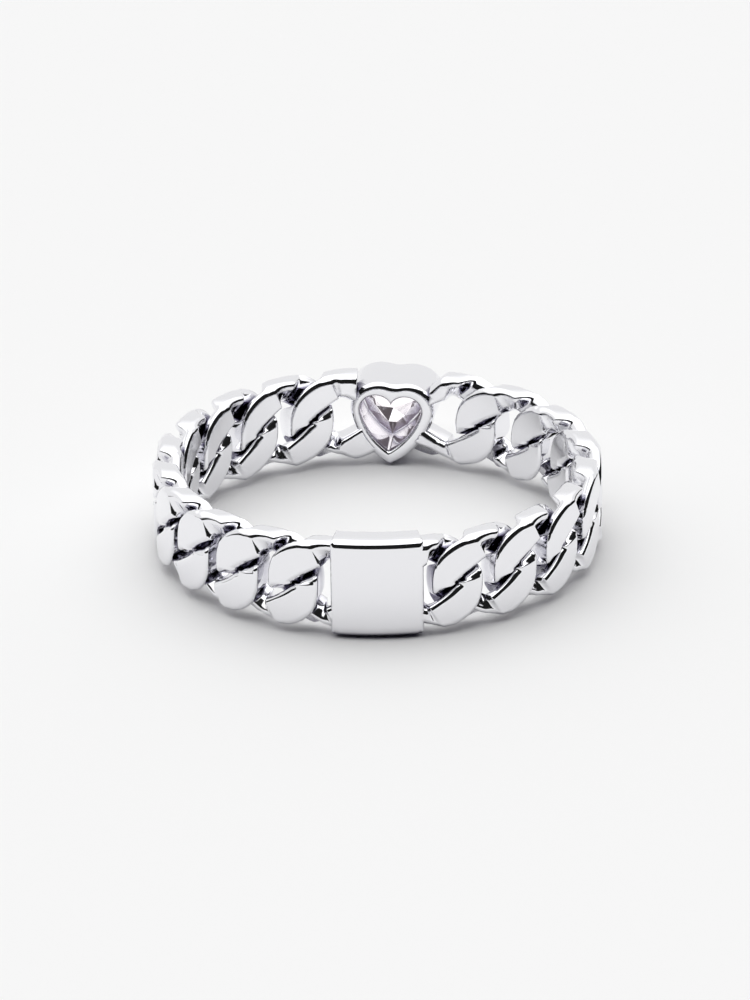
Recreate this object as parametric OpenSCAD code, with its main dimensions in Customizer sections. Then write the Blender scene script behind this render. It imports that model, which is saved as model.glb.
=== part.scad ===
// Chain link ring: flattened curb links, a plain back plate and a heart setting with its stone.
// The ring lies on its side round the Z axis, the plate faces -Y and the heart lies near +Y.

/* [Band] */
// Inside diameter of the finger hole
inner_d = 17.1; // [15.5:0.1:20]
// Thickness of the band between its inner and outer faces
band_t = 1.3; // [1.15:0.05:1.5]
// Clearance between links where they cross
link_gap = 0.06; // [0.04:0.01:0.1]

/* [Links] */
// Half height of a link
link_half_h = 2.07; // [1.9:0.01:2.2]
// Half length of a link past the half spacing
link_end_w = 0.86; // [0.75:0.01:0.95]
// Half height of the hole in a link
hole_half_h = 1.05; // [0.9:0.01:1.15]
// First link centre right of the plate, in degrees from the front
first_right = 12.2; // [11.5:0.1:13]
// First link centre left of the plate, in degrees from the front
first_left = 14.1; // [13.5:0.1:15]
// First spacing on the right, in degrees
step_right = 16.6; // [16.4:0.05:16.7]
// First spacing on the left, in degrees
step_left = 16.5; // [16.3:0.05:16.6]
// Growth of the spacing toward the heart on the right
widen_right = 0.225; // [0.21:0.005:0.24]
// Growth of the spacing toward the heart on the left
widen_left = 0.085; // [0.07:0.005:0.1]

/* [Back plate] */
// Width of the plate
plate_w = 3.8; // [3.5:0.05:4.2]
// Top edge of the plate above mid height
plate_top = 2.2; // [2.1:0.01:2.3]
// Bottom edge of the plate below mid height
plate_bottom = 2.27; // [2.15:0.01:2.35]
// Corner radius of the plate seen from the front
plate_corner = 0.4; // [0.2:0.05:0.6]
// Edge radius of the plate's section
plate_edge = 0.16; // [0.1:0.02:0.3]
// Plate centre, in degrees from the front
plate_at = -0.4; // [-2:0.1:2]

/* [Heart setting] */
// Heart centre, in degrees from the front
heart_at = 175.5; // [174.5:0.1:176.5]
// Inner face of the setting, measured from the ring's axis
heart_inner_r = 8.52; // [8.4:0.01:8.6]
// Outer lip of the setting, measured from the ring's axis
heart_outer_r = 11.3; // [10.8:0.05:11.6]
// Lobe radius of the stone's outline
lobe_r = 0.82; // [0.7:0.01:0.9]
// Half distance between the lobe centres
lobe_half = 0.62; // [0.55:0.01:0.7]
// Height of the lobe centres
lobe_z = 0.45; // [0.35:0.01:0.6]
// Tip of the stone's outline below mid height
tip_z = 1.74; // [1.6:0.01:1.9]
// Radius of the heart's bulging sides
side_r = 3.4; // [3:0.1:5]
// Wall of the setting round the stone
wall = 0.42; // [0.35:0.01:0.5]
// Lean of the heart toward the right, in degrees
heart_lean = 3; // [0:0.5:5]
// Widening of the heart at its outer lip, as a share of its width
lip_flare = 0.09; // [0.04:0.01:0.12]

/* [Heart stone] */
// Girdle of the stone, measured from the ring's axis
girdle_r = 10.62; // [10.4:0.01:10.8]
// Crown height over the girdle
crown_h = 0.5; // [0.35:0.05:0.6]
// Depth of the pavilion under the girdle
pavilion_h = 1.2; // [0.9:0.05:1.3]
// Table size as a share of the outline
table_part = 0.56; // [0.5:0.01:0.65]
// Clearance between the stone and its seat
stone_gap = 0.03; // [0.02:0.01:0.05]

/* [Hidden] */

// Free links on each side of the plate
links_right = 7;
links_left = 8;

inner_r = inner_d / 2;
outer_r = inner_r + band_t;
mid_r = inner_r + band_t / 2;
mm_per_deg = mid_r * PI / 180;
half_gap = link_gap / 2;

// Section sides of a link, and the exponents of its outline, hole and section
sides = 12;
outline_pow = 0.92;
hole_pow = 1.7;
section_pow = 0.6;

// Angles round half a link at which its sections stand
stations = [0, 9, 24, 40, 55, 66, 75, 90, 105, 114, 125, 140, 156, 171];

// Share of the band that the strand's outer side fills: [angle round the link, share]
outer_share = [[0, 0.5], [9, 0], [66, 0], [75, 1], [171, 1], [180, 0.5]];

// Spacing helpers
function right_at(k) = first_right + k * step_right + k * k * widen_right;
function left_at(k) = -(first_left + k * step_left + k * k * widen_left);
function spacing(k, step, widen) = step + widen * (2 * k + 1);
function mean_spacing(k, step, widen) = (spacing(k - 1, step, widen) + spacing(k, step, widen)) / 2;

function pow_s(v, p) = sign(v) * pow(abs(v), p);
function clamp(v, lo, hi) = max(lo, min(hi, v));

// A point at distance r from the axis, at deg degrees from the front
function on_ring(r, deg, z) = [r * sin(deg), -r * cos(deg), z];

// Outline and hole of a link in its own flat view
function outline_point(t, half_l) = [(half_l + link_end_w) * pow_s(cos(t), outline_pow),
                                     link_half_h * pow_s(sin(t), outline_pow)];
function hole_point(t, half_l) = [(half_l + 0.045) * pow_s(cos(t), hole_pow),
                                  hole_half_h * pow_s(sin(t), hole_pow)];

// Top and bottom of the strand across the band at angle t round the link
function strand_top(t) = -half_gap + (band_t / 2 + half_gap) * lookup(t % 180, outer_share);
function strand_low(t) = half_gap - (band_t / 2 + half_gap) * lookup(180 - t % 180, outer_share);

// One point of the link's surface: station angle t, section angle s
function link_point(at, half_l, t, s) =
    let(out = outline_point(t, half_l), hole = hole_point(t, half_l),
        across = (1 + pow_s(cos(s), section_pow)) / 2,
        flat = hole + across * (out - hole),
        top = strand_top(t), low = strand_low(t),
        lift = clamp((top + low) / 2 + 1.1 * (top - low) / 2 * pow_s(sin(s), section_pow), low, top))
    on_ring(mid_r + lift, at + flat[0] / mm_per_deg, flat[1]);

// A closed tube through rows of points, each row a loop
module loop_tube(rows) {
    n = len(rows);
    m = len(rows[0]);
    polyhedron(
        [for (row = rows) each row],
        [for (i = [0:n - 1], j = [0:m - 1])
            let(a = i * m + j, b = i * m + (j + 1) % m, c = ((i + 1) % n) * m + (j + 1) % m, d = ((i + 1) % n) * m + j)
            each [[a, b, c], [a, c, d]]],
        convexity = 6);
}

// One curb link centred at the given angle, for the given spacing in degrees
module curb_link(at, space) {
    half_l = space * mm_per_deg / 2;
    turns = [for (side = [0, 180], t = stations) side + t];
    loop_tube([for (t = turns) [for (j = [0:sides - 1]) link_point(at, half_l, t, 15 + j * 360 / sides)]]);
}

module right_link(k) { curb_link(right_at(k), mean_spacing(k, step_right, widen_right)); }
module left_link(k) { curb_link(left_at(k), mean_spacing(k, step_left, widen_left)); }

// One section of the plate at x along the band, drawn in by inset at its top and bottom
function plate_row(x, inset) =
    [for (q = [0:3], a = [0:30:90])
        on_ring((q == 0 || q == 3 ? outer_r - plate_edge : inner_r + plate_edge) + plate_edge * cos(90 * q + a),
            plate_at + x / mm_per_deg,
            (q < 2 ? plate_top - inset - plate_edge : inset + plate_edge - plate_bottom) + plate_edge * sin(90 * q + a))];

// The plate's own body: a piece of the band with rounded corners
module plate_body() {
    half_w = plate_w / 2;
    corner = [for (a = [0:30:90]) [half_w - plate_corner * (1 - sin(a)), plate_corner * (1 - cos(a))]];
    flat_part = [for (i = [-2:2]) [i * (half_w - plate_corner) / 3, 0]];
    closed_loft([
        for (i = [3:-1:0]) plate_row(-corner[i][0], corner[i][1]),
        for (f = flat_part) plate_row(f[0], 0),
        for (i = [0:3]) plate_row(corner[i][0], corner[i][1])]);
}

// Centre of the arc that forms a side of the heart: it touches the lobe from outside and meets the tip
lobe_to_tip = norm([lobe_half, lobe_z + tip_z]);
tip_dir = atan2(-tip_z - lobe_z, -lobe_half);
side_turn = acos((pow(side_r - lobe_r, 2) + pow(lobe_to_tip, 2) - pow(side_r, 2)) / (2 * (side_r - lobe_r) * lobe_to_tip));
side_c = [lobe_half, lobe_z] + (side_r - lobe_r) * [cos(tip_dir - side_turn), sin(tip_dir - side_turn)];
join_dir = tip_dir - side_turn + 180;

lobe_steps = 11;
side_steps = 7;

// Right half of the heart outline, grown outward by g, from the cleft down to the tip
function heart_half(g) =
    let(r = lobe_r + g, start = acos(-lobe_half / r), stop = join_dir,
        R = side_r + g, tip = asin(-side_c[0] / R) - 90)
    [for (i = [0:lobe_steps]) let(a = start + (stop - start) * i / lobe_steps) [lobe_half + r * cos(a), lobe_z + r * sin(a)],
     for (i = [1:side_steps]) let(a = stop + (tip - stop) * i / side_steps) [side_c[0] + R * cos(a), side_c[1] + R * sin(a)]];

// Whole outline: the right half, then its mirror image back up to the cleft
function heart_outline(g) =
    let(half = heart_half(g), n = len(half))
    [each half, for (i = [n - 2:-1:1]) [-half[i][0], half[i][1]]];

// A point of the heart's own frame: x to the side, z up, r out from the ring's axis
function in_heart(p, r) =
    let(depth = (r - heart_inner_r) / (heart_outer_r - heart_inner_r),
        side = p[0] * (1 + lip_flare * depth), up = p[1] * (1 - 0.04 * depth),
        x = side * cos(heart_lean) + up * sin(heart_lean) + 0.08 * depth,
        z = up * cos(heart_lean) - side * sin(heart_lean))
    [r * sin(heart_at) - x * cos(heart_at), -r * cos(heart_at) - x * sin(heart_at), z];

// Wall of the setting: [distance from the ring's axis, growth of the heart outline]
bezel_wall = [
    [heart_inner_r, 0.02],
    [heart_inner_r + 0.12, -0.06],
    [girdle_r - 0.45, -0.14],
    [girdle_r - 0.10, stone_gap + 0.06],
    [girdle_r + 0.04, stone_gap + 0.06],
    [heart_outer_r, stone_gap + 0.06],
    [heart_outer_r, wall - 0.12],
    [heart_outer_r - 0.12, wall + 0.03],
    [heart_outer_r - 0.9, wall + 0.05],
    [heart_inner_r + 0.10, wall],
    [heart_inner_r, wall - 0.10],
];

module bezel() {
    loop_tube([for (w = bezel_wall) [for (p = heart_outline(w[1])) in_heart(p, w[0])]]);
}

// Stone levels: [distance from the ring's axis, share of the outline]
stone_levels = [
    [girdle_r + crown_h, table_part],
    [girdle_r + crown_h * 0.55, 0.83],
    [girdle_r + 0.03, 1],
    [girdle_r - 0.03, 1],
    [girdle_r - pavilion_h * 0.55, 0.52],
    [girdle_r - pavilion_h, 0.06],
];
stone_mid = [0, -0.12];

module back_plate() {
    color("silver") union() {
        plate_body();
        right_link(0);
        left_link(0);
    }
}

module heart_setting() {
    color("silver") union() {
        bezel();
        difference() {
            union() { right_link(links_right + 1); left_link(links_left + 1); }
            heart_core();
        }
    }
}

// What the setting keeps clear inside its wall
module heart_core() {
    closed_loft([for (r = [heart_outer_r + 0.5, heart_inner_r - 0.5])
        [for (p = heart_outline(wall * 0.5)) in_heart(p, r)]]);
}

// A solid through rows of points with flat ends
module closed_loft(rows) {
    n = len(rows);
    m = len(rows[0]);
    polyhedron(
        [for (row = rows) each row],
        [[for (j = [m - 1:-1:0]) j],
         [for (j = [0:m - 1]) (n - 1) * m + j],
         for (i = [0:n - 2], j = [0:m - 1])
            let(a = i * m + j, b = i * m + (j + 1) % m, c = (i + 1) * m + (j + 1) % m, d = (i + 1) * m + j)
            each [[a, b, c], [a, c, d]]],
        convexity = 6);
}

module heart_stone() {
    outline = heart_outline(0);
    color("white") closed_loft([for (level = stone_levels)
        [for (i = [0:2:len(outline) - 1])
            in_heart(stone_mid + level[1] * (outline[i] - stone_mid), level[0])]]);
}

module link_r1() { color("silver") right_link(1); }
module link_r2() { color("silver") right_link(2); }
module link_r3() { color("silver") right_link(3); }
module link_r4() { color("silver") right_link(4); }
module link_r5() { color("silver") right_link(5); }
module link_r6() { color("silver") right_link(6); }
module link_r7() { color("silver") right_link(7); }
module link_l1() { color("silver") left_link(1); }
module link_l2() { color("silver") left_link(2); }
module link_l3() { color("silver") left_link(3); }
module link_l4() { color("silver") left_link(4); }
module link_l5() { color("silver") left_link(5); }
module link_l6() { color("silver") left_link(6); }
module link_l7() { color("silver") left_link(7); }
module link_l8() { color("silver") left_link(8); }

back_plate();
heart_setting();
heart_stone();
link_r1();
link_r2();
link_r3();
link_r4();
link_r5();
link_r6();
link_r7();
link_l1();
link_l2();
link_l3();
link_l4();
link_l5();
link_l6();
link_l7();
link_l8();
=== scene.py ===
"""Looks of the chain link ring: polished silver curb links, a plain back plate, and a heart setting
with its stone."""

import math

import bmesh
import bpy
import numpy as np
from mathutils import Matrix, Vector


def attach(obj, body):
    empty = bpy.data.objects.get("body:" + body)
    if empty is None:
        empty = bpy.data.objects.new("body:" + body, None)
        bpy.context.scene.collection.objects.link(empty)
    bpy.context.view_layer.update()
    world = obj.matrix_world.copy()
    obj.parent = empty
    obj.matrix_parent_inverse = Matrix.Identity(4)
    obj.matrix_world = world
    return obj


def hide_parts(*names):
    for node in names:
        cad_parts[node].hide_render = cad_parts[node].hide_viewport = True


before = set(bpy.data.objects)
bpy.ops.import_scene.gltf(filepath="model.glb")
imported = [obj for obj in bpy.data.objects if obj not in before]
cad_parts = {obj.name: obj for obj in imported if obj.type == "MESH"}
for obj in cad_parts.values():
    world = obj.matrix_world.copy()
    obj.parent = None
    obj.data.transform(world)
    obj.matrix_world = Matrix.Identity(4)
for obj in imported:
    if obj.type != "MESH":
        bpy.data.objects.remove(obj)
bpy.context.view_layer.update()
MM = 0.001

# Camera first: where the photograph was taken from, with a long lens
CAMERA_ELEVATION = math.radians(24.2)
CAMERA_DISTANCE = 390 * MM
CAMERA_ROLL = math.radians(0.65)
LENS_MM = 320.1
SENSOR_MM = 36
AIM = Vector((-0.118, 0.045, -0.10)) * MM

# Band sizes in mm, as in the part's source
BAND_INNER_R = 8.55
BAND_T = 1.3
BAND_OUTER_R = BAND_INNER_R + BAND_T
BAND_MID_R = BAND_INNER_R + BAND_T / 2
MM_PER_DEG = BAND_MID_R * math.pi / 180

# Link sizes in mm. The powers say how square the link's outline is: less than 1 is fuller than an oval,
# and the hole's, above 1, is leaner
LINK_GAP = 0.06
LINK_HALF_H = 2.12
LINK_RAISE = 0.07
LINK_END_W = 1.1
HOLE_HALF_H = 0.98
HOLE_END_CLEAR = 0.045
OUTLINE_POW = 0.92
LEAF_POW = 0.8
HOLE_POW = 1.7
LINK_STATIONS = 240
ROUND_STEPS = 7

# Links on each side of the plate: the first one's angle, the step to the next in degrees, and how it widens
FIRST_RIGHT, STEP_RIGHT, WIDEN_RIGHT = 12.2, 16.6, 0.225
FIRST_LEFT, STEP_LEFT, WIDEN_LEFT = 14.1, 16.5, 0.085
LINKS_RIGHT, LINKS_LEFT = 7, 8
HEART_LINK_FALL = 0.28

# Plate sizes in mm: the corners of its face, and the roundings along its edges
PLATE_W = 3.8
PLATE_TOP = 2.32
PLATE_BOTTOM = 2.27
PLATE_HEAD_CORNER = 0.12
PLATE_FOOT_CORNER = 0.34
PLATE_END_ROUND = 0.17
PLATE_EDGE = 0.36
PLATE_FOOT_EDGE = 0.6
PLATE_INNER_EDGE = 0.16
PLATE_END_SHARP = 0.25
PLATE_END_RUN = 0.2
PLATE_PROUD = 0.03
PLATE_AT = -0.4

# Heart sizes in mm
HEART_AT = math.radians(175.5)
HEART_LEAN = math.radians(3)
HEART_INNER_R = 8.52
HEART_OUTER_R = 11.3
LOBE_R, LOBE_HALF, LOBE_Z, TIP_Z, SIDE_R = 0.82, 0.62, 0.45, 1.74, 3.4
WALL = 0.42
LIP_FLARE = 0.09
LIP_DROP = 0.04
LIP_SHIFT = 0.08
LIP_ROUND = 0.14
FACE_ROUND = 0.3
CLEFT_SOFT = 0.3
SEAT_INSET = -0.12
OPENING_STRETCH = np.array([1.05, 1])
OPENING_SHIFT = np.array([-0.09, -0.02])

# Stone sizes in mm, and the parts of its girdle that its inner rings of corners measure
GIRDLE_R = 10.62
GIRDLE_HALF_T = 0.03
GIRDLE_INSET = -0.13
CROWN_H = 0.5
PAVILION_H = 0.74
HALF_FACET_H = 0.48
TABLE_PART = 0.56
STAR_PART = 0.82
HALF_FACET_PART = 0.6
LOBE_FACETS = 5
SIDE_FACETS = 3
STONE_MIDDLE = np.array([-0.06, 0.02])


def colour(hex_text):
    """An sRGB hex colour as linear RGBA."""
    parts = [int(hex_text[i : i + 2], 16) / 255 for i in (1, 3, 5)]
    return (*[c / 12.92 if c <= 0.04045 else ((c + 0.055) / 1.055) ** 2.4 for c in parts], 1)


def add_node(tree, kind, settings=None, inputs=None, links=None):
    """A shader node with its settings, socket values and incoming links."""
    node = tree.nodes.new(kind)
    for name, value in (settings or {}).items():
        setattr(node, name, value)
    for name, value in (inputs or {}).items():
        node.inputs[name].default_value = value
    for name, source in (links or {}).items():
        tree.links.new(source, node.inputs[name])
    return node


def new_material(name):
    """An empty material and its node tree."""
    material = bpy.data.materials.new(name)
    material.use_nodes = True
    material.node_tree.nodes.clear()
    return material, material.node_tree


def finish_material(tree, shader):
    """Joins the shader to the material's output."""
    add_node(tree, "ShaderNodeOutputMaterial", links={"Surface": shader.outputs[0]})


# Cast 925 silver, tumbled and polished: a bright mirror with fine polishing marks. Painted shade: its colour
# turns plum-grey in deep corners and near the floor, where ambient occlusion finds them. The marks are drawn
# coarser than real ones, to show
SHADE_REACH_MM = 0.9
SHADE_FROM, SHADE_TO = 0.12, 0.62
WHEEL_MARK_MM = 0.05
SOFT_WAVE_MM = 1.6
SOFT_WAVE_DEPTH_MM = 0.02


def polished_silver():
    material, tree = new_material("polished sterling silver")
    place = add_node(tree, "ShaderNodeTexCoord").outputs["Object"]
    # Painted shade: the ambient occlusion mask mixes a plum-grey into the silver's colour in deep corners and
    # near the floor
    corner = add_node(tree, "ShaderNodeAmbientOcclusion", {"samples": 8}, {"Distance": SHADE_REACH_MM * MM})
    painted_shade = add_node(tree, "ShaderNodeMapRange", {"interpolation_type": "SMOOTHSTEP"},
                    {"From Min": SHADE_FROM, "From Max": SHADE_TO}, {"Value": corner.outputs["AO"]})
    painted_shade_tone = add_node(tree, "ShaderNodeMix", {"data_type": "RGBA"}, links={"Factor": painted_shade.outputs["Result"]})
    painted_shade_tone.inputs[6].default_value = colour("#76728a")
    painted_shade_tone.inputs[7].default_value = colour("#f2f2f5")
    marks = add_node(tree, "ShaderNodeTexNoise", {}, {"Scale": 1 / (WHEEL_MARK_MM * MM), "Detail": 3.0},
                     {"Vector": place})
    gloss = add_node(tree, "ShaderNodeMapRange", {}, {"To Min": 0.05, "To Max": 0.11},
                     {"Value": marks.outputs[0]})
    waves = add_node(tree, "ShaderNodeTexNoise", {}, {"Scale": 1 / (SOFT_WAVE_MM * MM), "Detail": 1.0},
                     {"Vector": place})
    skin = add_node(tree, "ShaderNodeBump", {}, {"Strength": 0.35, "Distance": SOFT_WAVE_DEPTH_MM * MM},
                    {"Height": waves.outputs[0]})
    shader = add_node(tree, "ShaderNodeBsdfPrincipled", {}, {"Metallic": 1.0},
                      {"Base Color": painted_shade_tone.outputs[2], "Roughness": gloss.outputs["Result"],
                       "Normal": skin.outputs["Normal"]})
    finish_material(tree, shader)
    return material


# Heart-cut cubic zirconia, colourless: its facets were lapped flat and sharp, with the faintest lapping
# marks. The real stone bends light more (2.15), but at 1.5 more facets are bright, as in the photograph.
# A faint painted glow, an emission though the stone is no lamp, lifts the dark facets from black to the
# photograph's brown-grey
STONE_IOR = 1.5
STONE_PAINTED_GLOW = 0.2
LAP_MARK_MM = 0.03


def cubic_zirconia():
    material, tree = new_material("cubic zirconia")
    place = add_node(tree, "ShaderNodeTexCoord").outputs["Object"]
    marks = add_node(tree, "ShaderNodeTexNoise", {}, {"Scale": 1 / (LAP_MARK_MM * MM)}, {"Vector": place})
    gloss = add_node(tree, "ShaderNodeMapRange", {}, {"To Min": 0.0, "To Max": 0.03},
                     {"Value": marks.outputs[0]})
    # Painted glow: the emission colour and strength light the stone's dark facets from within
    shader = add_node(tree, "ShaderNodeBsdfPrincipled", {}, {
        "Base Color": colour("#fffdfe"), "IOR": STONE_IOR, "Transmission Weight": 1.0,
        "Emission Color": colour("#b8abb2"), "Emission Strength": STONE_PAINTED_GLOW},
        {"Roughness": gloss.outputs["Result"]})
    finish_material(tree, shader)
    return material


# White studio paper under the ring: matt, with the fine tooth of rolled paper
PAPER_TOOTH_MM = 0.4
PAPER_TOOTH_DEPTH_MM = 0.01


def studio_paper():
    material, tree = new_material("white studio paper")
    place = add_node(tree, "ShaderNodeTexCoord").outputs["Object"]
    tooth = add_node(tree, "ShaderNodeTexNoise", {}, {"Scale": 1 / (PAPER_TOOTH_MM * MM)}, {"Vector": place})
    gloss = add_node(tree, "ShaderNodeMapRange", {}, {"To Min": 0.86, "To Max": 0.94},
                     {"Value": tooth.outputs[0]})
    skin = add_node(tree, "ShaderNodeBump", {}, {"Strength": 0.1, "Distance": PAPER_TOOTH_DEPTH_MM * MM},
                    {"Height": tooth.outputs[0]})
    shader = add_node(tree, "ShaderNodeBsdfPrincipled", {}, {
        "Base Color": colour("#f1f1f1"), "Specular IOR Level": 0.1},
        {"Roughness": gloss.outputs["Result"], "Normal": skin.outputs["Normal"]})
    finish_material(tree, shader)
    return material


silver = polished_silver()
zirconia = cubic_zirconia()


def smooth_step(part):
    """A part from 0 to 1, eased at both ends."""
    part = np.clip(part, 0, 1)
    return part * part * (3 - 2 * part)


# How steeply a ramp leaves its full share at a crisp edge
EDGE_POW = 1.6


def ramp(values, table, edge):
    """Values read off a table of [angle, share].

    The ramps between its rows are smooth, or with edge they leave the full share at a crisp edge.
    """
    table = np.array(table, float)
    i = np.clip(np.searchsorted(table[:, 0], values, side="right") - 1, 0, len(table) - 2)
    part = np.clip((values - table[i, 0]) / (table[i + 1, 0] - table[i, 0]), 0, 1)
    part = np.where(table[i + 1, 1] < table[i, 1], 1 - part, part)
    part = part**EDGE_POW if edge else smooth_step(part)
    return np.where(table[i + 1, 1] == table[i, 1], table[i, 1], part)


def read_off(values, table):
    """Values read off a table of [angle, value] in straight lines."""
    return np.interp(values, *np.array(table, float).T)


def squared_oval(half_w, half_h, a, power):
    """Points of an oval at the angles a: a power under 1 fills its corners, and one above 1 hollows them."""
    def part(values):
        return np.sign(values) * np.abs(values) ** power

    return np.stack([half_w * part(np.cos(a)), half_h * part(np.sin(a))], -1)


def on_ring(r, deg, z):
    """Points at distance r from the ring's axis, at deg degrees from the front."""
    a = np.radians(deg)
    return np.stack([r * np.sin(a), -r * np.cos(a), z], -1)


def make_piece(name, vertices, faces, material, rounded=True):
    """A mesh object from points in mm."""
    mesh = bpy.data.meshes.new(name)
    mesh.from_pydata((np.asarray(vertices) * MM).tolist(), [], faces)
    mesh.update()
    mesh.materials.append(material)
    mesh.polygons.foreach_set("use_smooth", [rounded] * len(mesh.polygons))
    piece = bpy.data.objects.new(name, mesh)
    bpy.context.scene.collection.objects.link(piece)
    return piece


def loop_tube(rows):
    """Vertices and faces of a closed tube through rows of points, each row a loop."""
    n, m = rows.shape[:2]
    index = np.arange(n * m).reshape(n, m)
    a, b = index, np.roll(index, -1, 1)
    c, d = np.roll(b, -1, 0), np.roll(index, -1, 0)
    return rows.reshape(-1, 3), np.stack([a, b, c, d], -1).reshape(-1, 4).tolist()


def capped_loft(rows):
    """Vertices and faces of a solid through rows of points with flat ends."""
    n, m = rows.shape[:2]
    index = np.arange(n * m).reshape(n, m)
    a, b = index[:-1], np.roll(index, -1, 1)[:-1]
    c, d = np.roll(index, -1, 1)[1:], index[1:]
    faces = np.stack([a, b, c, d], -1).reshape(-1, 4).tolist()
    return rows.reshape(-1, 3), faces + [index[0, ::-1].tolist(), index[-1].tolist()]


# How far a strand's outer edges stand out, by the angle round the link in degrees: 0 is mid band and 1 the
# band's face. The strand leans over like a twisted wire, so its edge at the link's rim leaves the face before
# the one at the hole does. Columns: angle, share
OUTER_AT_RIM = [[0, 1], [7, 1], [26, 0], [66, 0], [79, 1], [200, 1]]
OUTER_AT_HOLE = [[0, 1], [3, 1], [22, 0], [84, 0], [102, 1], [180, 1]]
# Width of the rounding on the strand's outer side in mm: small where the face was cut flat, and large where
# the wire stayed round. Columns: angle, width
RIM_ROUND = [[0, 0.16], [10, 0.2], [26, 0.6], [66, 0.6], [80, 0.44], [100, 0.42], [130, 0.34],
             [155, 0.18], [180, 0.16]]
HOLE_ROUND = [[0, 0.3], [12, 0.5], [26, 0.55], [74, 0.5], [100, 0.28], [125, 0.24], [150, 0.32],
              [170, 0.36], [180, 0.3]]
# The rim is drawn in where the strand dips under the next link: by these parts of its height at the link's
# top and foot, times a share. Columns: angle, share
LEAN_IN_TOP, LEAN_IN_FOOT = 0.03, 0.29
LEAN_IN = [[4, 0], [40, 1], [76, 1], [104, 0]]
# At the foot the outer face runs on by up to FOOT_RUN degrees more along the rim than at the top: most at
# FOOT_MIDDLE degrees round the link, and fading over FOOT_SPAN degrees either way
FOOT_RUN, FOOT_MIDDLE, FOOT_SPAN = 12, 250, 40
# The rounding starts at a crisp edge of this many degrees, where the flat face was cut
CUT_EDGE = math.radians(14)
# Rows of points on the flat face this far from its rounding keep it flat up to there
FACE_GUARDS = (0.07, 0.02)
# The most of the strand's thickness and width that its roundings may take
ROUND_SHARE_T, ROUND_SHARE_W = 0.98, 0.48
# On a joined side the full thickness and the fall of the top come in over these parts of the half length
JOINT_RUN, FALL_RUN = 0.2, 0.32


def curb_rows(at, half_l, joined=0, fall=0):
    """Rows of points round one curb link, whose faces were cut flat after the wire was twisted.

    A link cast in one with the plate or the heart keeps the band's full thickness on its joined side (1 or
    -1), and its top can fall toward the joint.
    """
    t = np.arange(LINK_STATIONS) * 360 / LINK_STATIONS
    a = np.radians(t)
    toward = np.cos(a) * joined
    power = np.where(t % 180 > 90, LEAF_POW, OUTLINE_POW)
    outline = squared_oval(half_l + LINK_END_W, LINK_HALF_H, a, power)
    outline[:, 1] *= np.where(t < 180, 1 - fall * smooth_step(toward / FALL_RUN), 1)
    hole = squared_oval(half_l + HOLE_END_CLEAR, HOLE_HALF_H, a, HOLE_POW)
    outer_turn, inner_turn = t % 180, (180 - t) % 180
    lean_in = np.where(t < 180, LEAN_IN_TOP, LEAN_IN_FOOT)
    rims = [outline * np.stack([np.ones(LINK_STATIONS), 1 - lean_in * read_off(turn, LEAN_IN)], -1)
            for turn in (inner_turn, outer_turn)]
    clear, rise = LINK_GAP / 2, BAND_T / 2 + LINK_GAP / 2
    foot = FOOT_RUN * np.exp(-(((t - FOOT_MIDDLE) / FOOT_SPAN) ** 2))
    top_rim = rise * ramp(outer_turn + foot, OUTER_AT_RIM, False) - clear
    top_hole = rise * ramp(outer_turn, OUTER_AT_HOLE, True) - clear
    low_rim = clear - rise * ramp(inner_turn, OUTER_AT_RIM, False)
    low_hole = clear - rise * ramp(inner_turn, OUTER_AT_HOLE, True)
    whole = smooth_step(1 + toward / JOINT_RUN) if joined else 0
    top_rim, top_hole = [h + whole * (rise - clear - h) for h in (top_rim, top_hole)]
    low_rim, low_hole = [h + whole * (clear - rise - h) for h in (low_rim, low_hole)]
    turns = np.linspace(CUT_EDGE, math.pi / 2, ROUND_STEPS)
    flat, lift = [], []
    for at_rim, outer in ((1, 1), (0, 1), (0, 0), (1, 0)):
        reach = rims[outer] - hole
        width = np.linalg.norm(reach, axis=1)
        table = RIM_ROUND if at_rim else HOLE_ROUND
        size = read_off(outer_turn if outer else inner_turn, table)
        partner = read_off(inner_turn if outer else outer_turn, table)
        thick = top_rim - low_rim if at_rim else top_hole - low_hole
        deep = size * np.minimum(1, ROUND_SHARE_T * thick / (size + partner))
        wide = np.minimum(size, ROUND_SHARE_W * width)
        inset = [wide * (1 - math.sin(CUT_EDGE)) + guard for guard in FACE_GUARDS]
        inset += [wide * (1 - math.sin(turn)) for turn in turns]
        drop = [0 * deep for guard in FACE_GUARDS]
        drop += [deep * (math.cos(CUT_EDGE) - math.cos(turn)) for turn in turns]
        if at_rim == outer:  # the rounding comes before the face here
            inset, drop = inset[::-1], drop[::-1]
        for q, h in zip(inset, drop):
            share = (width - q if at_rim else q) / width
            flat.append(hole + share[:, None] * reach)
            top, low = top_hole + share * (top_rim - top_hole), low_hole + share * (low_rim - low_hole)
            lift.append(top - h if outer else low + h)
    flat, lift = np.stack(flat, 1), np.stack(lift, 1)
    return on_ring(BAND_MID_R + lift, at + flat[..., 0] / MM_PER_DEG, flat[..., 1] + LINK_RAISE)


def link_place(side, k):
    """Angle of the k-th link from the plate, and its half spacing in mm."""
    if side == "r":
        first, step, widen = FIRST_RIGHT, STEP_RIGHT, WIDEN_RIGHT
    else:
        first, step, widen = FIRST_LEFT, STEP_LEFT, WIDEN_LEFT
    at = first + k * step + k * k * widen
    return (at if side == "r" else -at), (step + 2 * k * widen) * MM_PER_DEG / 2


def curb_link(name, side, k, *replaced, joined=0, fall=0):
    """The k-th curb link from the plate, on the right (r) or left (l)."""
    vertices, faces = loop_tube(curb_rows(*link_place(side, k), joined, fall))
    piece = make_piece(name, vertices, faces, silver)
    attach(piece, "root")
    if replaced:
        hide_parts(*replaced)
    return piece


for k in range(1, LINKS_RIGHT + 1):
    curb_link(f"curb_link_r{k}", "r", k, f"link_r{k}")
for k in range(1, LINKS_LEFT + 1):
    curb_link(f"curb_link_l{k}", "l", k, f"link_l{k}")
curb_link("plate_half_link_right", "r", 0, joined=-1)
curb_link("plate_half_link_left", "l", 0)


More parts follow.
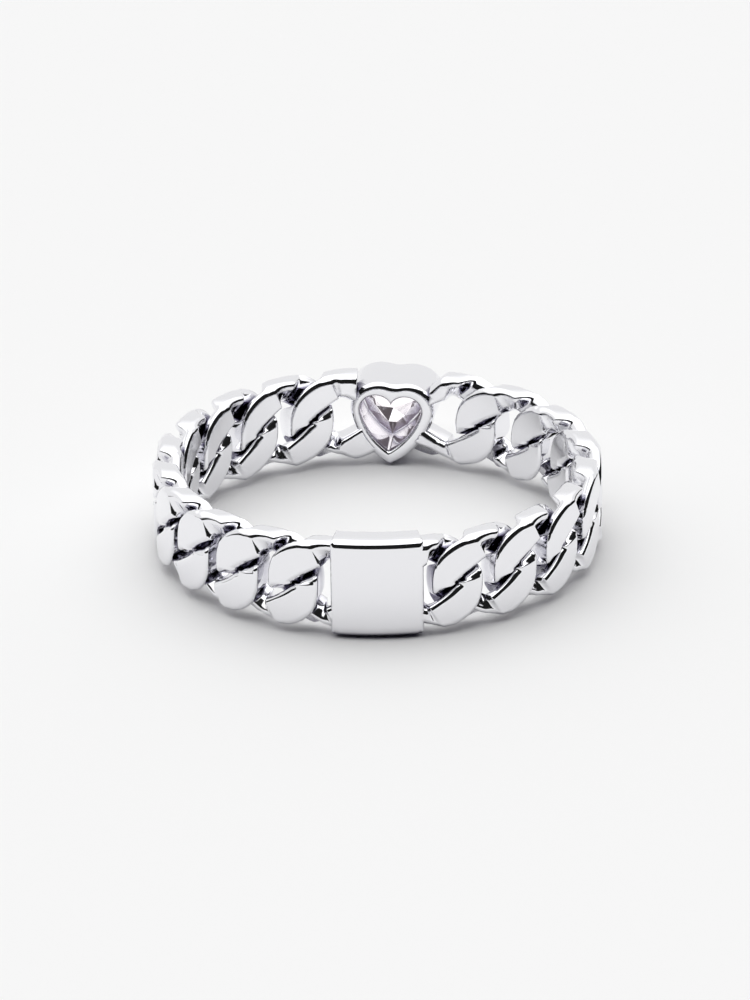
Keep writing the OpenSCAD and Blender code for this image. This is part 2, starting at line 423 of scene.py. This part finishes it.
def rounded_section(rounds, r0, r1, z0, z1, arc=9):
    """A rounded rectangle in (r, z). Its roundings go from the outer top round to the outer bottom."""
    points = []
    corners = ((r1, z1, 0), (r0, z1, 90), (r0, z0, 180), (r1, z0, 270))
    for e, (r, z, start) in zip(rounds, corners):
        cr, cz = (r - e if r == r1 else r + e), (z - e if z == z1 else z + e)
        for a in np.radians(np.linspace(start, start + 90, arc)):
            points.append((cr + e * math.cos(a), cz + e * math.sin(a)))
    return np.array(points)


def rounded_off(radius, edge):
    """How far a rounding takes a face back at a distance edge from its end."""
    return radius - math.sqrt(max(0, radius * radius - max(0, radius - edge) ** 2))


def back_plate():
    """The plain plate: a piece of the band with rounded edges, squarer at its top corners than its foot."""
    half = PLATE_W / 2
    # Sections lie close together where the ends are rounded, and far apart along the middle
    ends = np.concatenate([[0, 0.01, 0.03, 0.06], np.linspace(0.1, 0.5, 17), [0.6, 0.8]])
    stations = np.concatenate([-half + ends, np.linspace(-0.9, 0.9, 13), (half - ends)[::-1]])
    rows = []
    for x in stations:
        edge = half - abs(x)
        face = BAND_OUTER_R + PLATE_PROUD - rounded_off(PLATE_END_ROUND, edge)
        top = PLATE_TOP - rounded_off(PLATE_HEAD_CORNER, edge)
        bottom = -PLATE_BOTTOM + rounded_off(PLATE_FOOT_CORNER, edge)
        full = min(1, PLATE_END_SHARP + edge / PLATE_END_RUN)
        rounds = np.array([PLATE_EDGE, PLATE_INNER_EDGE, PLATE_INNER_EDGE, PLATE_FOOT_EDGE]) * full
        section = rounded_section(rounds, BAND_INNER_R, face, bottom, top)
        rows.append(on_ring(section[:, 0], PLATE_AT + x / MM_PER_DEG, section[:, 1]))
    piece = make_piece("plain_back_plate", *capped_loft(np.array(rows)), silver)
    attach(piece, "root")
    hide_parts("back_plate")


back_plate()

# The heart's side arc touches the lobe from outside and meets the tip
tip_reach = math.hypot(LOBE_HALF, LOBE_Z + TIP_Z)
tip_dir = math.atan2(-TIP_Z - LOBE_Z, -LOBE_HALF)
centre_reach = SIDE_R - LOBE_R
side_turn = math.acos((centre_reach**2 + tip_reach**2 - SIDE_R**2) / (2 * centre_reach * tip_reach))
side_centre = np.array([LOBE_HALF, LOBE_Z]) + centre_reach * np.array(
    [math.cos(tip_dir - side_turn), math.sin(tip_dir - side_turn)])
join_dir = tip_dir - side_turn + math.pi


def heart_outline(growth, lobe_steps=44, side_steps=18, soft=0):
    """The heart's outline grown outward by growth, with a cleft as wide as soft if it is rounded.

    It runs from the cleft down the right side to the tip and back up the left.
    """
    r, big = LOBE_R + growth, SIDE_R + growth
    start, tip = math.acos(-LOBE_HALF / r), math.asin(-side_centre[0] / big) - math.pi / 2
    lobe = start + (join_dir - start) * np.arange(lobe_steps + 1) / lobe_steps
    side = join_dir + (tip - join_dir) * np.arange(1, side_steps + 1) / side_steps
    half = np.concatenate([
        np.stack([LOBE_HALF + r * np.cos(lobe), LOBE_Z + r * np.sin(lobe)], -1),
        side_centre + big * np.stack([np.cos(side), np.sin(side)], -1)])
    if soft:  # a round valley in place of the sharp cleft
        lobe_x = soft - LOBE_HALF
        bend = -lobe_x / math.sqrt(r * r - lobe_x**2) / (2 * soft)
        floor_z = LOBE_Z + math.sqrt(r * r - lobe_x**2) - bend * soft**2
        near = (half[:, 0] < soft) & (half[:, 1] > 0)
        half[near, 1] = floor_z + bend * half[near, 0] ** 2
    return np.concatenate([half, half[-2:0:-1] * [-1, 1]])


def in_heart(points, r):
    """Points of the heart's own frame, at distance r from the ring's axis."""
    depth = (r - HEART_INNER_R) / (HEART_OUTER_R - HEART_INNER_R)
    side, up = points[:, 0] * (1 + LIP_FLARE * depth), points[:, 1] * (1 - LIP_DROP * depth)
    x = side * math.cos(HEART_LEAN) + up * math.sin(HEART_LEAN) + LIP_SHIFT * depth
    z = up * math.cos(HEART_LEAN) - side * math.sin(HEART_LEAN)
    return np.stack([r * math.sin(HEART_AT) - x * math.cos(HEART_AT),
                     -r * math.cos(HEART_AT) - x * math.sin(HEART_AT), z], -1)


# The cutter for the links beside the heart: where it runs in the wall, its height over the lobes, and how
# far it stands past the heart's inner and outer faces
CUTTER_GROWTH = 0.2
CUTTER_TOP = 3
CUTTER_PAST = 1


def out_of_heart(piece):
    """Ends a piece in the middle of the heart's wall, and lets nothing cross above its lobes."""
    low = heart_outline(CUTTER_GROWTH)
    low = low[low[:, 1] <= LOBE_Z]
    line = np.concatenate([[[low[0, 0], CUTTER_TOP]], low, [[low[-1, 0], CUTTER_TOP]]])
    rows = np.array([in_heart(line, r) for r in (HEART_INNER_R - CUTTER_PAST, HEART_OUTER_R + CUTTER_PAST)])
    core = make_piece("heart_core", *capped_loft(rows), silver)
    for solid in (piece, core):
        mesh = bmesh.new()
        mesh.from_mesh(solid.data)
        bmesh.ops.recalc_face_normals(mesh, faces=mesh.faces)
        mesh.to_mesh(solid.data)
        mesh.free()
    cut = piece.modifiers.new("cut", "BOOLEAN")
    cut.object = core
    seen = bpy.context.evaluated_depsgraph_get()
    trimmed = bpy.data.meshes.new_from_object(piece.evaluated_get(seen))
    piece.modifiers.clear()
    piece.data = trimmed
    bpy.data.objects.remove(core)


out_of_heart(curb_link("heart_link_right", "r", LINKS_RIGHT + 1, joined=1, fall=HEART_LINK_FALL))
out_of_heart(curb_link("heart_link_left", "l", LINKS_LEFT + 1, joined=-1))


def opening_line(growth, *steps):
    """The opening's outline, which is a little wider than the heart's own and set off its centre."""
    return heart_outline(growth, *steps) * OPENING_STRETCH + OPENING_SHIFT


def heart_bezel():
    """The deep bezel, in rows round the heart from its opening to its lip, outside and inner face.

    Each row is its distance from the ring's axis and the growth of the heart's outline, in mm.
    """
    inner, outer = HEART_INNER_R, HEART_OUTER_R
    opening = [(inner, -0.02), (inner + 0.02, -0.07), (inner + 0.1, -0.13), (inner + 0.22, -0.16),
               (inner + 0.3, -0.165), (GIRDLE_R - 0.1, SEAT_INSET), (GIRDLE_R + 0.04, SEAT_INSET),
               (outer - 0.02, 0.09), (outer, 0.12)]
    outside = [(outer, WALL - 0.12)]
    for a in np.radians(np.linspace(8, 90, 7)):
        outside.append((outer - LIP_ROUND * (1 - math.cos(a)), WALL - 0.1 + LIP_ROUND * math.sin(a)))
    outside.append((outer - 0.9, WALL + 0.05))
    for a in np.radians(np.linspace(0, 80, 11)):
        outside.append((inner + FACE_ROUND * (1 - math.sin(a)), WALL + 0.03 - FACE_ROUND * (1 - math.cos(a))))
    outside += [(inner, WALL - FACE_ROUND + 0.05), (inner, WALL - FACE_ROUND + 0.03)]
    rows = [in_heart(opening_line(growth), r) for r, growth in opening]
    rows += [in_heart(heart_outline(growth, soft=CLEFT_SOFT), r) for r, growth in outside]
    piece = make_piece("heart_bezel", *loop_tube(np.array(rows)), silver)
    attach(piece, "root")
    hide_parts("heart_setting")


heart_bezel()


def heart_stone():
    """A heart-cut stone: its table looks outward, and its pavilion's facets show inside the ring.

    Its rings of corners run from the table to the pavilion. Each is its distance from the ring's axis, its
    size as a part of the girdle's, and whether its corners lie on the girdle's corners or between them.
    """
    middle = STONE_MIDDLE
    girdle = opening_line(GIRDLE_INSET, LOBE_FACETS, SIDE_FACETS)
    n = len(girdle)
    between = (np.roll(girdle, -1, 0) + girdle) / 2
    levels = [(GIRDLE_R + CROWN_H, TABLE_PART, girdle), (GIRDLE_R + CROWN_H / 2, STAR_PART, between),
              (GIRDLE_R + GIRDLE_HALF_T, 1, girdle), (GIRDLE_R - GIRDLE_HALF_T, 1, girdle),
              (GIRDLE_R - HALF_FACET_H, HALF_FACET_PART, between)]
    rows = [in_heart(middle + share * (line - middle), r) for r, share, line in levels]
    vertices = np.concatenate(rows + [in_heart(middle[None], GIRDLE_R - PAVILION_H)])
    faces = [list(range(n))[::-1]]
    for level in range(len(levels) - 1):
        for i in range(n):
            j = (i + 1) % n
            a, b, c, d = level * n + i, level * n + j, (level + 1) * n + j, (level + 1) * n + i
            if levels[level][2] is levels[level + 1][2]:
                faces.append([a, b, c, d])
            elif levels[level][2] is girdle:
                faces += [[a, b, d], [b, c, d]]
            else:
                faces += [[a, b, c], [a, c, d]]
    last, tip = (len(levels) - 1) * n, len(levels) * n
    faces += [[last + i, last + i + 1, last + (i + 2) % n, tip] for i in range(0, n, 2)]
    piece = make_piece("heart_cut_stone", vertices, faces, zirconia, rounded=False)
    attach(piece, "root")
    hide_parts("heart_stone")


heart_stone()

# Floor at the level that the plate and the heart's tip stand on
FLOOR_HALF = 1500
corners = [(x * FLOOR_HALF, y * FLOOR_HALF, -PLATE_BOTTOM) for x, y in ((-1, -1), (1, -1), (1, 1), (-1, 1))]
floor = make_piece("studio_floor", corners, [(0, 1, 2, 3)], studio_paper(), rounded=False)


# Studio light: a white sweep from low behind the ring up over it, and a dark room on the camera's side,
# which draws the black lines along the edges. The sweep lies where a direction's product with SWEEP_LEAN is
# over SWEEP_EDGE, and it brightens with the direction's height from SWEEP_FROM to the top
SWEEP_LEAN = (-0.24, 0.7, 1)
SWEEP_EDGE = 0.45
SWEEP_SOFT = 0.05
SWEEP_FROM = 0.45
SWEEP_LOW = 1.1
SWEEP_HIGH = 2.47
ROOM_DARK = 0.015


def studio_light():
    world = bpy.data.worlds.new("studio")
    bpy.context.scene.world = world
    world.use_nodes = True
    tree = world.node_tree
    tree.nodes.clear()
    direction = add_node(tree, "ShaderNodeTexCoord").outputs["Generated"]
    side = add_node(tree, "ShaderNodeVectorMath", {"operation": "DOT_PRODUCT"}, {1: SWEEP_LEAN},
                    {0: direction})
    height = add_node(tree, "ShaderNodeSeparateXYZ", links={"Vector": direction})
    strength = add_node(tree, "ShaderNodeMapRange", {}, {
        "From Min": SWEEP_FROM, "From Max": 1.0, "To Min": SWEEP_LOW, "To Max": SWEEP_HIGH},
        {"Value": height.outputs["Z"]})
    sweep = add_node(tree, "ShaderNodeMapRange", {"interpolation_type": "SMOOTHSTEP"}, {
        "From Min": SWEEP_EDGE - SWEEP_SOFT / 2, "From Max": SWEEP_EDGE + SWEEP_SOFT / 2,
        "To Min": ROOM_DARK}, {"Value": side.outputs["Value"], "To Max": strength.outputs["Result"]})
    background = add_node(tree, "ShaderNodeBackground", links={"Strength": sweep.outputs["Result"]})
    add_node(tree, "ShaderNodeOutputWorld", links={"Surface": background.outputs[0]})
    bpy.context.scene.view_settings.view_transform = "Standard"


studio_light()


def camera():
    data = bpy.data.cameras.new("camera")
    data.lens = LENS_MM
    data.sensor_width = SENSOR_MM
    data.clip_start = 0.01
    data.clip_end = 10
    back = Vector((0, -math.cos(CAMERA_ELEVATION), math.sin(CAMERA_ELEVATION)))
    eye = bpy.data.objects.new("camera", data)
    bpy.context.scene.collection.objects.link(eye)
    eye.rotation_mode = "QUATERNION"
    turn = (-back).to_track_quat("-Z", "Y") @ Matrix.Rotation(-CAMERA_ROLL, 3, "Z").to_quaternion()
    eye.rotation_quaternion = turn
    eye.location = AIM + back * CAMERA_DISTANCE
    bpy.context.scene.camera = eye


camera()
